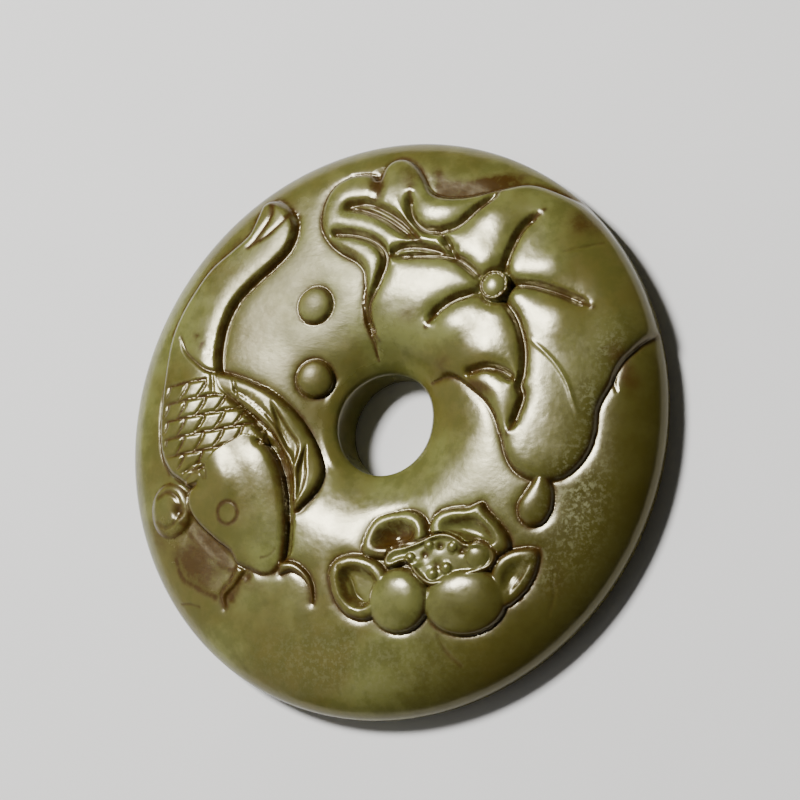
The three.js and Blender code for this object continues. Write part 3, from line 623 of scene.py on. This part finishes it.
def carve_drops(face):
    face.raise_figure(DROP, rounded(0.75, 1.15))
    for centre in BUBBLES:
        face.raise_dome(centre, BUBBLE_RADIUS, BUBBLE_RADIUS, 0, BUBBLE_TOP, 0.85, 2.0)


def flare(x, y):
    """How far the bore's mouth is opened out where the leaf curls into it."""
    turn = np.maximum(0, np.cos(np.arctan2(y, x) - FLARE_DIRECTION))
    near = np.clip(1 - (np.hypot(x, y) - BORE_RADIUS) / FLARE_REACH, 0, 1)
    return FLARE_DEPTH * turn**2 * near**2


def carve_face(x, y, shape):
    face = Carving(x, y, shape)
    face.cut_ground()
    carve_carp(face)
    carve_leaf(face)
    carve_rim_hollow(face)
    carve_flower(face)
    carve_drops(face)
    for line, deep, half_width, brown in CUTS:
        face.cut(line, deep, half_width, brown)
    for swell in SWELLS:
        face.swell(*swell)
    for patch in RUSSET_PATCHES:
        face.stain(*patch)
    for x_pit, y_pit, radius, deep in PITS:
        face.swell(x_pit, y_pit, radius, radius, 0, -deep)
        face.stain(x_pit, y_pit, 1.4 * radius, 1.4 * radius, 0, 1.0)
    for patch in SCRAPED:
        face.scrape(*patch)
    for *patch, amount in PALE_GRAINS:
        face.pale = np.maximum(face.pale, amount * face.spot(*patch))
    return face


# ---- the plain disc's section ----


def dome_height(radius):
    fall = np.where(radius < CROWN_RADIUS, INNER_FALL, OUTER_FALL)
    return CROWN_HEIGHT - fall * (radius - CROWN_RADIUS)**2


def face_height(radius):
    """Height of the face: the dome, rounded over at the shoulder down to the widest ring."""
    out = np.clip((radius - SHOULDER_RADIUS) / (DISC_RADIUS - SHOULDER_RADIUS), 0, 1)
    share = np.sqrt(1 - out**SHOULDER_POWER)
    return WIDEST_HEIGHT + (dome_height(radius) - WIDEST_HEIGHT) * share


def face_lean(radius):
    """The face's outward normal, as its parts along the radius and along the axis."""
    inner = np.minimum(radius, DISC_RADIUS) - 1e-3
    slope = (face_height(inner + 1e-3) - face_height(inner)) / 1e-3
    size = np.hypot(slope, 1)
    return -slope / size, 1 / size


def disc_section():
    """The closed section (radius, height), from the widest ring under the disc and back."""
    def share(count):
        return np.arange(count) / count

    low, flat, lip, wall, mouth, top, rim = (
        share(n) for n in (40, 80, 4, 40, 20, 120, 80))
    quarter = np.pi / 2
    brink = face_height(MOUTH_RADIUS)
    lip_height = brink - 2 * INNER_FALL * (CROWN_RADIUS - MOUTH_RADIUS) * (
        MOUTH_RADIUS - BORE_RADIUS)
    across = MOUTH_RADIUS + (SHOULDER_RADIUS - MOUTH_RADIUS) * top
    out = SHOULDER_RADIUS + (DISC_RADIUS - SHOULDER_RADIUS) * (
        np.sin(rim * quarter)**(2 / SHOULDER_POWER))
    stretches = [
        (BACK_RADIUS + (DISC_RADIUS - BACK_RADIUS) * np.cos(low * quarter),
         WIDEST_HEIGHT * (1 - np.sin(low * quarter))),
        (BACK_RADIUS + (BORE_RADIUS + BORE_CHAMFER - BACK_RADIUS) * flat, 0 * flat),
        (BORE_RADIUS + BORE_CHAMFER * (1 - lip), BORE_CHAMFER * lip),
        (BORE_RADIUS + 0 * wall, BORE_CHAMFER + (MOUTH_HEIGHT - BORE_CHAMFER) * wall),
        (BORE_RADIUS + (MOUTH_RADIUS - BORE_RADIUS) * mouth**2,
         (1 - mouth)**2 * MOUTH_HEIGHT + 2 * mouth * (1 - mouth) * lip_height
         + mouth**2 * brink),
        (across, face_height(across)),
        (out, face_height(out)),
    ]
    points = np.vstack([np.column_stack(s) for s in stretches])
    return np.vstack([points, points[:1]])


class Section:
    """The section by a parameter from 0 to 1 whose speed follows the radius.

    A square in angle and parameter is then a square on the skin too, at every radius.
    """

    def __init__(self):
        self.points = disc_section()
        steps = np.linalg.norm(np.diff(self.points, axis=0), axis=1)
        radii = (self.points[1:, 0] + self.points[:-1, 0]) / 2
        rim = (radii > SHOULDER_RADIUS) & (self.points[1:, 1] != 0)
        self.marks = np.concatenate([[0], np.cumsum(steps * np.where(rim, 1.8, 1) / radii)])
        self.marks /= self.marks[-1]

    def at(self, parameter):
        return (np.interp(parameter, self.marks, self.points[:, 0]),
                np.interp(parameter, self.marks, self.points[:, 1]))


# ---- the skin's cells ----


def doubled(grid):
    return grid.repeat(2, axis=0).repeat(2, axis=1)


def with_neighbours(grid):
    return (grid | np.roll(grid, 1, 0) | np.roll(grid, -1, 0)
            | np.roll(grid, 1, 1) | np.roll(grid, -1, 1))


def needed_size(x, y, radius, height, shape):
    """The cell size, in millimetres, that places on the skin need."""
    size = np.full(x.shape, 0.6)
    size[height <= 0] = 3.0
    on_face = (radius > MOUTH_RADIUS) & (height > WIDEST_HEIGHT)
    fx, fy = x[on_face], y[on_face]
    to_line = np.full(fx.shape, 3.0)
    for line in CARVED_LINES:
        to_line = np.minimum(to_line, distance(fx, fy, line))
    body = inside(fx, fy, CARP_BODY) & (scale_row(fx, fy) < 0.2)
    to_line = np.where(body, np.minimum(to_line, 0.2), to_line)
    away = np.maximum(to_line - 0.3, 0)
    size[on_face] = shape.finest_cell + shape.cell_growth * away
    size[on_face] = np.minimum(size[on_face], 0.9)
    return size


def plan_cells(section, shape):
    """Marks, on each level, the cells that are cut in four; neighbours differ by one level."""
    cut = []
    exists = np.ones((CELLS_AROUND, CELLS_ALONG), bool)
    for level in range(LEVELS):
        columns, rows = np.nonzero(exists)
        turn = (columns + 0.5) / (CELLS_AROUND << level) * 2 * np.pi
        radius, height = section.at((rows + 0.5) / (CELLS_ALONG << level))
        size = radius * 2 * np.pi / (CELLS_AROUND << level)
        need = needed_size(radius * np.cos(turn), radius * np.sin(turn), radius, height, shape)
        marks = np.zeros(exists.shape, bool)
        marks[columns, rows] = size > need
        cut.append(marks)
        exists = doubled(marks)
    for level in range(LEVELS - 1, 0, -1):
        wide = with_neighbours(cut[level])
        cut[level - 1] |= (wide[::2, ::2] | wide[1::2, ::2] | wide[::2, 1::2] | wide[1::2, 1::2])
    return cut


def skin_faces(cut):
    """Quads and triangles between places on the finest lattice, as keys of those places."""
    around, along = CELLS_AROUND << LEVELS, CELLS_ALONG << LEVELS

    def key(i, j):
        return (i % around) * along + j % along

    quads, triangles = [], []
    for level in range(LEVELS + 1):
        shape = (CELLS_AROUND << level, CELLS_ALONG << level)
        exists = doubled(cut[level - 1]) if level else np.ones(shape, bool)
        finer = cut[level] if level < LEVELS else np.zeros(shape, bool)
        leaf = exists & ~finer
        size = 1 << (LEVELS - level)
        beside = [np.roll(finer, 1, 0), np.roll(finer, -1, 1), np.roll(finer, -1, 0),
                  np.roll(finer, 1, 1)]
        whole = leaf & ~(beside[0] | beside[1] | beside[2] | beside[3])
        i, j = (n * size for n in np.nonzero(whole))
        quads.append(np.column_stack([key(i, j), key(i, j + size), key(i + size, j + size),
                                      key(i + size, j)]))
        corners = [(0, 0), (0, 1), (1, 1), (1, 0)]
        for side in range(4):
            a, b = corners[side], corners[(side + 1) % 4]
            for split in (True, False):
                chosen = leaf & ~whole & (beside[side] == split)
                i, j = (n * size for n in np.nonzero(chosen))
                if len(i):
                    centre = key(i + size // 2, j + size // 2)
                    first = key(i + a[0] * size, j + a[1] * size)
                    last = key(i + b[0] * size, j + b[1] * size)
                    if split:
                        middle = key(i + (a[0] + b[0]) * size // 2, j + (a[1] + b[1]) * size // 2)
                        triangles.append(np.column_stack([centre, first, middle]))
                        triangles.append(np.column_stack([centre, middle, last]))
                    else:
                        triangles.append(np.column_stack([centre, first, last]))
    return np.vstack(quads), np.vstack(triangles)


def disc_skin(shape):
    """The finished skin: places in metres, faces, looks at each place, and the plain normals."""
    section = Section()
    quads, triangles = skin_faces(plan_cells(section, shape))
    keys, numbers = np.unique(np.concatenate([quads.ravel(), triangles.ravel()]),
                              return_inverse=True)
    along = CELLS_ALONG << LEVELS
    turn = (keys // along) / (CELLS_AROUND << LEVELS) * 2 * np.pi
    radius, height = section.at((keys % along) / along)
    x, y = radius * np.cos(turn), radius * np.sin(turn)
    on_face = (radius > MOUTH_RADIUS) & (height > WIDEST_HEIGHT)
    face = carve_face(x[on_face], y[on_face], shape)
    lift = face.height * smooth(height[on_face], WIDEST_HEIGHT, FADE_START)
    lift *= smooth(radius[on_face], MOUTH_RADIUS, MOUTH_RADIUS + 0.6)
    lean_out, lean_up = face_lean(radius[on_face])
    looks = {}
    for name, values in (("brown", face.brown), ("rough", face.rough), ("pale", face.pale)):
        looks[name] = np.zeros(x.shape)
        looks[name][on_face] = values
    out = np.ones(x.shape)
    out[on_face] += lift * lean_out / radius[on_face]
    z = height - flare(x, y) * np.minimum(height / MOUTH_HEIGHT, 1)**2
    z[on_face] += lift * lean_up
    places = np.column_stack([x * out, y * out, z]) * MM
    base = np.column_stack([np.zeros(x.shape), np.zeros(x.shape), np.ones(x.shape)])
    base[on_face] = np.column_stack([x[on_face] / radius[on_face] * lean_out,
                                     y[on_face] / radius[on_face] * lean_out, lean_up])
    quads = numbers[:quads.size].reshape(-1, 4)
    triangles = numbers[quads.size:].reshape(-1, 3)
    return places, quads, triangles, looks, np.where(on_face[:, None], base, 0)


def make_disc(shape):
    places, quads, triangles, looks, plain_normals = disc_skin(shape)
    mesh = bpy.data.meshes.new("jade_disc_fine")
    mesh.vertices.add(len(places))
    mesh.vertices.foreach_set("co", places.ravel())
    corners = np.concatenate([quads.ravel(), triangles.ravel()])
    mesh.loops.add(len(corners))
    mesh.loops.foreach_set("vertex_index", corners)
    sizes = np.concatenate([np.full(len(quads), 4), np.full(len(triangles), 3)])
    mesh.polygons.add(len(sizes))
    mesh.polygons.foreach_set("loop_start", np.concatenate([[0], np.cumsum(sizes)[:-1]]))
    mesh.polygons.foreach_set("use_smooth", np.ones(len(sizes), bool))
    mesh.update(calc_edges=True)
    normals = np.zeros(3 * len(places))
    mesh.vertices.foreach_get("normal", normals)
    # Painted shade: wherever the relief leans away from the plain dome, the brown stain colour is
    # laid on, darkening every slope as shade would.
    level = (normals.reshape(-1, 3) * plain_normals).sum(1)
    slope_shade = np.where(plain_normals.any(1), smooth(1 - level, 0.02, 0.25), 0)
    looks["brown"] = np.maximum(looks["brown"], 0.65 * slope_shade)
    for name, values in looks.items():
        layer = mesh.attributes.new(name, "FLOAT", "POINT")
        layer.data.foreach_set("value", values.astype(np.float32))
    print("disc:", len(places), "places,", 2 * len(quads) + len(triangles), "triangles")
    disc = bpy.data.objects.new("jade_disc_fine", mesh)
    bpy.context.scene.collection.objects.link(disc)
    return disc


# ---- the stone ----


class NodeBench:
    """Adds shader nodes to one material."""

    def __init__(self, name):
        self.material = bpy.data.materials.new(name)
        self.material.use_nodes = True
        self.tree = self.material.node_tree
        self.tree.nodes.clear()

    def add(self, kind, settings=None, **inputs):
        node = self.tree.nodes.new(kind)
        for key, value in (settings or {}).items():
            setattr(node, key, value)
        for key, value in inputs.items():
            self.feed(node.inputs[key.replace("_", " ")], value)
        return node

    def feed(self, socket, value):
        if isinstance(value, bpy.types.NodeSocket):
            self.tree.links.new(value, socket)
        else:
            socket.default_value = value

    def noise(self, place, scale, detail=4.0, rough=0.55):
        node = self.add("ShaderNodeTexNoise", Vector=place, Scale=scale, Detail=detail,
                        Roughness=rough)
        return node.outputs["Fac"]

    def spread(self, value, low, high, to_low=0.0, to_high=1.0):
        node = self.add("ShaderNodeMapRange", {"interpolation_type": "SMOOTHSTEP"})
        for index, item in enumerate((value, low, high, to_low, to_high)):
            self.feed(node.inputs[index], item)
        return node.outputs["Result"]

    def sums(self, operation, a, b):
        node = self.add("ShaderNodeMath", {"operation": operation})
        self.feed(node.inputs[0], a)
        self.feed(node.inputs[1], b)
        return node.outputs[0]

    def blend(self, share, a, b, kind="MIX"):
        node = self.add("ShaderNodeMix", {"data_type": "RGBA", "blend_type": kind})
        self.feed(node.inputs[0], share)
        self.feed(node.inputs[6], a)
        self.feed(node.inputs[7], b)
        return node.outputs[2]


def rgba(colour):
    return (*colour, 1.0)


def jade_material(colours):
    bench = NodeBench("polished_jade")
    place = bench.add("ShaderNodeTexCoord").outputs["Object"]
    brown = bench.add("ShaderNodeAttribute", {"attribute_name": "brown"}).outputs["Fac"]
    pale = bench.add("ShaderNodeAttribute", {"attribute_name": "pale"}).outputs["Fac"]
    scraped = bench.add("ShaderNodeAttribute", {"attribute_name": "rough"}).outputs["Fac"]
    clouds = bench.spread(bench.noise(place, 70, 5), 0.4, 0.6)
    mottle = bench.spread(bench.noise(place, 420, 6, 0.65), 0.4, 0.62)
    colour = bench.blend(clouds, rgba(colours.olive), rgba(colours.celadon))
    colour = bench.blend(bench.sums("MULTIPLY", mottle, 0.6), colour, rgba(colours.moss))
    breakup = bench.spread(bench.noise(place, 900, 5, 0.7), 0.25, 0.7, 0.5, 1.15)
    # The brown attribute holds real stain in the cuts and, on every slope of the relief, painted
    # shade.
    stain = bench.sums("MULTIPLY", brown, breakup)
    # Painted shade: the stone is darkened towards the lower right rim, standing in for the shade
    # that falls there; in part it is also the stone's own darker tone.
    part = bench.add("ShaderNodeSeparateXYZ", Vector=place).outputs
    right = bench.sums("SUBTRACT", bench.sums("MULTIPLY", part["X"], 0.85),
                       bench.sums("MULTIPLY", part["Y"], 0.5))
    right = bench.sums("ADD", right, bench.sums("MULTIPLY", clouds, 0.004))
    colour = bench.blend(bench.spread(right, 0.012, 0.026, 0.0, 0.85), colour,
                         rgba(colours.right_rim_tone_and_shade))
    grains = bench.spread(bench.noise(place, 2200, 3, 0.7), 0.45, 0.65)
    colour = bench.blend(bench.sums("MULTIPLY", grains, pale), colour, rgba(colours.grain))
    colour = bench.blend(bench.spread(stain, 0.05, 0.9), colour, rgba(colours.brown))
    grain = bench.noise(place, 2600, 4, 0.6)
    swell = bench.noise(place, 260, 3, 0.5)
    fine = bench.add("ShaderNodeBump", Strength=0.12, Distance=0.00005, Height=grain)
    swells = bench.add("ShaderNodeBump", Strength=0.4, Distance=0.0002, Height=swell,
                       Normal=fine.outputs[0])
    streaks = bench.add("ShaderNodeMapping", Vector=place, Rotation=(0, 0, 0.75),
                        Scale=(1, 2.5, 1)).outputs[0]
    bump = bench.add("ShaderNodeBump", Distance=0.00012, Strength=bench.sums(
        "MULTIPLY", scraped, 0.3), Height=bench.noise(streaks, 700, 4, 0.6),
        Normal=swells.outputs[0])
    polish = bench.spread(bench.noise(place, 500, 5, 0.6), 0.3, 0.7, 0.17, 0.25)
    bare = bench.sums("MULTIPLY", scraped, bench.sums("SUBTRACT", 1.0, brown))
    roughness = bench.sums("ADD", polish, bench.sums("MULTIPLY", bare, 0.3))
    shader = bench.add("ShaderNodeBsdfPrincipled", Base_Color=colour, Roughness=roughness,
                       IOR=1.61, Subsurface_Weight=0.35, Subsurface_Scale=0.0012,
                       Normal=bump.outputs[0])
    shader.inputs["Subsurface Radius"].default_value = (1.0, 0.95, 0.4)
    shader.inputs["Specular Tint"].default_value = (1.0, 0.92, 0.62, 1.0)
    bench.add("ShaderNodeOutputMaterial", Surface=shader.outputs[0])
    return bench.material


def floor_material(colours):
    bench = NodeBench("pale_floor")
    place = bench.add("ShaderNodeTexCoord").outputs["Object"]
    tone = bench.spread(bench.noise(place, 30, 3), 0.3, 0.7, 0.97, 1.0)
    colour = bench.blend(1.0, rgba(colours.floor), tone, "MULTIPLY")
    shader = bench.add("ShaderNodeBsdfPrincipled", Base_Color=colour, Roughness=0.7)
    bench.add("ShaderNodeOutputMaterial", Surface=shader.outputs[0])
    return bench.material


# ---- settings ----


class JadeDiscShape(bpy.types.PropertyGroup):
    """Sizes of the carving, in millimetres"""

    trench: FloatProperty(
        name="Trench", description="How deep the ground is cut beside a figure, in millimetres",
        default=0.2, min=0.0, max=0.5)
    scale_pitch: FloatProperty(
        name="Scale rows", description="Spacing of the carp's rows of scales, in millimetres",
        default=1.75, min=1.0, max=3.0)
    finest_cell: FloatProperty(
        name="Finest cell", description="Size of the mesh's cells at a cut, in millimetres",
        default=0.16, min=0.05, max=1.0)
    cell_growth: FloatProperty(
        name="Cell growth", description="How fast cells grow away from a cut",
        default=0.65, min=0.05, max=2.0)


class JadeDiscColours(bpy.types.PropertyGroup):
    """Colours of the stone and of the floor"""

    olive: FloatVectorProperty(
        name="Olive", description="The stone's warmer, deeper green", subtype="COLOR",
        default=(0.098, 0.084, 0.018), min=0, max=1)
    celadon: FloatVectorProperty(
        name="Celadon", description="The stone's paler, greyer green", subtype="COLOR",
        default=(0.15, 0.155, 0.045), min=0, max=1)
    moss: FloatVectorProperty(
        name="Moss", description="Dark flecks within the stone", subtype="COLOR",
        default=(0.07, 0.07, 0.013), min=0, max=1)
    grain: FloatVectorProperty(
        name="Grain", description="Pale grains near the right rim", subtype="COLOR",
        default=(0.2, 0.2, 0.1), min=0, max=1)
    # Painted shade along the lower right rim, mixed with the stone's own darker tone there.
    right_rim_tone_and_shade: FloatVectorProperty(
        name="Dusk", description="The darker zone along the lower right rim", subtype="COLOR",
        default=(0.045, 0.035, 0.003), min=0, max=1)
    # The stain colour, also laid on the relief's slopes as painted shade.
    brown: FloatVectorProperty(
        name="Brown", description="Old stain in the cuts", subtype="COLOR",
        default=(0.05, 0.024, 0.004), min=0, max=1)
    floor: FloatVectorProperty(
        name="Floor", description="The pale floor under the disc", subtype="COLOR",
        default=(0.8, 0.79, 0.77), min=0, max=1)


class JadeDiscStudio(bpy.types.PropertyGroup):
    """Light and lens of the studio"""

    key_power: FloatProperty(
        name="Key light", description="Power of the large soft light", subtype="POWER",
        unit="POWER", default=6.8, min=0.0, max=100.0)
    side_power: FloatProperty(
        name="Side light", description="Power of the very large light on the left",
        subtype="POWER", unit="POWER", default=1.0, min=0.0, max=200.0)
    fill: FloatProperty(
        name="Fill", description="Strength of the even light from all round", default=0.05,
        min=0.0, max=5.0)
    lens: FloatProperty(
        name="Lens", description="Focal length of the camera, in millimetres", default=212.8,
        min=20.0, max=600.0)


# ---- operators ----


class JADE_OT_disc(bpy.types.Operator):
    """Carve the disc, give it its stone, and let it stand for the plain one"""

    bl_idname = "jade.disc"
    bl_label = "Carve the Disc"

    def execute(self, context):
        disc = make_disc(context.scene.jade_shape)
        disc.data.materials.append(jade_material(context.scene.jade_colours))
        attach(disc, "root")
        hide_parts("jade_disc")
        return {"FINISHED"}


def aim(thing, place, target):
    thing.location = place
    thing.rotation_euler = (Vector(target) - Vector(place)).to_track_quat("-Z", "Y").to_euler()


def add_softbox(name, direction, distance_m, size, power, target=(0, 0, 0.004)):
    light = bpy.data.lights.new(name, "AREA")
    light.shape = "RECTANGLE"
    light.size, light.size_y = size
    light.energy = power
    holder = bpy.data.objects.new(name, light)
    bpy.context.scene.collection.objects.link(holder)
    aim(holder, Vector(direction).normalized() * distance_m + Vector(target), target)
    return holder


class JADE_OT_stage(bpy.types.Operator):
    """Lay the pale floor and set up the lights and the camera"""

    bl_idname = "jade.stage"
    bl_label = "Set the Stage"

    def execute(self, context):
        scene = context.scene
        studio = scene.jade_studio
        mesh = bpy.data.meshes.new("floor")
        mesh.from_pydata([(-1.5, -1.5, 0), (1.5, -1.5, 0), (1.5, 1.5, 0), (-1.5, 1.5, 0)], [],
                         [(0, 1, 2, 3)])
        mesh.materials.append(floor_material(scene.jade_colours))
        floor = bpy.data.objects.new("floor", mesh)
        scene.collection.objects.link(floor)
        add_softbox("key_softbox", (-0.383, 0.337, 0.861), 0.6, (0.14, 0.14), studio.key_power)
        add_softbox("side_softbox", (-0.82, -0.3, 0.5), 0.8, (0.8, 1.0), studio.side_power)
        world = bpy.data.worlds.new("studio")
        world.use_nodes = True
        world.node_tree.nodes["Background"].inputs[0].default_value = (1.0, 0.99, 0.97, 1.0)
        world.node_tree.nodes["Background"].inputs[1].default_value = studio.fill
        scene.world = world
        camera = bpy.data.objects.new("camera", bpy.data.cameras.new("camera"))
        camera.data.lens = studio.lens
        camera.data.clip_start = 0.01
        camera.matrix_world = camera_pose()
        scene.collection.objects.link(camera)
        scene.camera = camera
        return {"FINISHED"}


def camera_pose():
    """The camera looks at the disc's face from 28.5 degrees off its axis, from 450 mm away."""
    roll, tilt, away = math.radians(64.16), math.radians(28.5), 450.0
    along = Vector((math.cos(roll), math.sin(roll), 0))
    across = Vector((-math.sin(roll), math.cos(roll), 0))
    axis = Vector((0, 0, 1))
    back = math.cos(tilt) * axis - math.sin(tilt) * across
    lean = math.cos(tilt) * across + math.sin(tilt) * axis
    right = math.cos(roll) * along - math.sin(roll) * lean
    up = math.sin(roll) * along + math.cos(roll) * lean
    place = Vector((0, 0, WIDEST_HEIGHT)) + away * back + 0.42 * right + 2.78 * up
    pose = Matrix((right, up, back)).transposed().to_4x4()
    pose.translation = place * MM
    return pose


class JADE_PT_panel(bpy.types.Panel):
    """Sizes, colours and steps of the jade disc"""

    bl_idname = "JADE_PT_panel"
    bl_label = "Jade Disc"
    bl_space_type = "VIEW_3D"
    bl_region_type = "UI"
    bl_category = "Jade Disc"

    def draw(self, context):
        layout = self.layout
        for group in (context.scene.jade_shape, context.scene.jade_colours,
                      context.scene.jade_studio):
            box = layout.box()
            for name in group.__annotations__:
                box.prop(group, name)
        for operator in (JADE_OT_disc, JADE_OT_stage):
            layout.operator(operator.bl_idname)


CLASSES = (JadeDiscShape, JadeDiscColours, JadeDiscStudio, JADE_OT_disc, JADE_OT_stage,
           JADE_PT_panel)


def register():
    for cls in CLASSES:
        bpy.utils.register_class(cls)
    bpy.types.Scene.jade_shape = PointerProperty(type=JadeDiscShape)
    bpy.types.Scene.jade_colours = PointerProperty(type=JadeDiscColours)
    bpy.types.Scene.jade_studio = PointerProperty(type=JadeDiscStudio)


def unregister():
    del bpy.types.Scene.jade_studio
    del bpy.types.Scene.jade_colours
    del bpy.types.Scene.jade_shape
    for cls in reversed(CLASSES):
        bpy.utils.unregister_class(cls)


def main():
    register()
    bpy.ops.jade.disc()
    bpy.ops.jade.stage()


if __name__ == "__main__":
    main()
